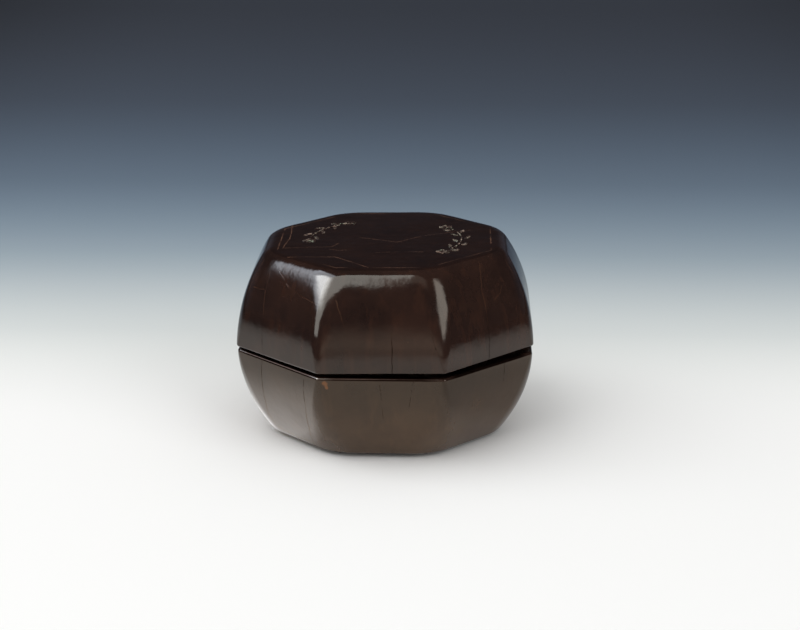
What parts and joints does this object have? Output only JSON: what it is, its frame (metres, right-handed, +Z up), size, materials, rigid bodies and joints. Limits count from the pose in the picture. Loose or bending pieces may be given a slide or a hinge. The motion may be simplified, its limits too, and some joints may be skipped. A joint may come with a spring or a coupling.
{
  "type": "seal paste box",
  "caption": "Octagonal lacquered box for seal paste: bulging lift-off lid with fine shell inlay on a flat top, seat collar, and a porcelain dish of paste inside.",
  "frame": {"origin": "middle of the foot, on the plane that the box stands on", "axes": "+Z up through the lid, -Y out of the front facet, +X to the right seen from the front"},
  "size_m": [0.076, 0.076, 0.0495],
  "materials": {
    "brown_lacquer": "polished lacquer with fine cracks and worn edges",
    "black_lacquer": "satin lacquer",
    "cedar_core": "bare planed wood",
    "white_porcelain": "clear glaze",
    "vermilion_paste": "oily soft paste",
    "pearl_shell": "polished shell"
  },
  "bodies": {
    "base": {"base_coat": "brown_lacquer", "base_lining": "black_lacquer", "base_floor_board": "cedar_core", "underside_coat": "black_lacquer", "foot_ring": "black_lacquer", "seat_collar": "black_lacquer", "base_stave_1": "cedar_core", "base_stave_2": "cedar_core", "base_stave_3": "cedar_core", "base_stave_4": "cedar_core", "base_stave_5": "cedar_core", "base_stave_6": "cedar_core", "base_stave_7": "cedar_core", "base_stave_8": "cedar_core"},
    "dish": {"paste_dish": "white_porcelain", "seal_paste": "vermilion_paste"},
    "lid": {"lid_coat": "brown_lacquer", "lid_lining": "black_lacquer", "lid_top_board": "cedar_core", "shell_inlay": "pearl_shell", "lid_stave_1": "cedar_core", "lid_stave_2": "cedar_core", "lid_stave_3": "cedar_core", "lid_stave_4": "cedar_core", "lid_stave_5": "cedar_core", "lid_stave_6": "cedar_core", "lid_stave_7": "cedar_core", "lid_stave_8": "cedar_core"}
  },
  "joints": [
    {"name": "lid_lift", "type": "slide", "parent": "base", "child": "lid", "axis": [0, 0, 1], "range_m": [0, 0.06]},
    {"name": "dish_lift", "type": "slide", "parent": "base", "child": "dish", "axis": [0, 0, 1], "range_m": [0, 0.018]}
  ]
}
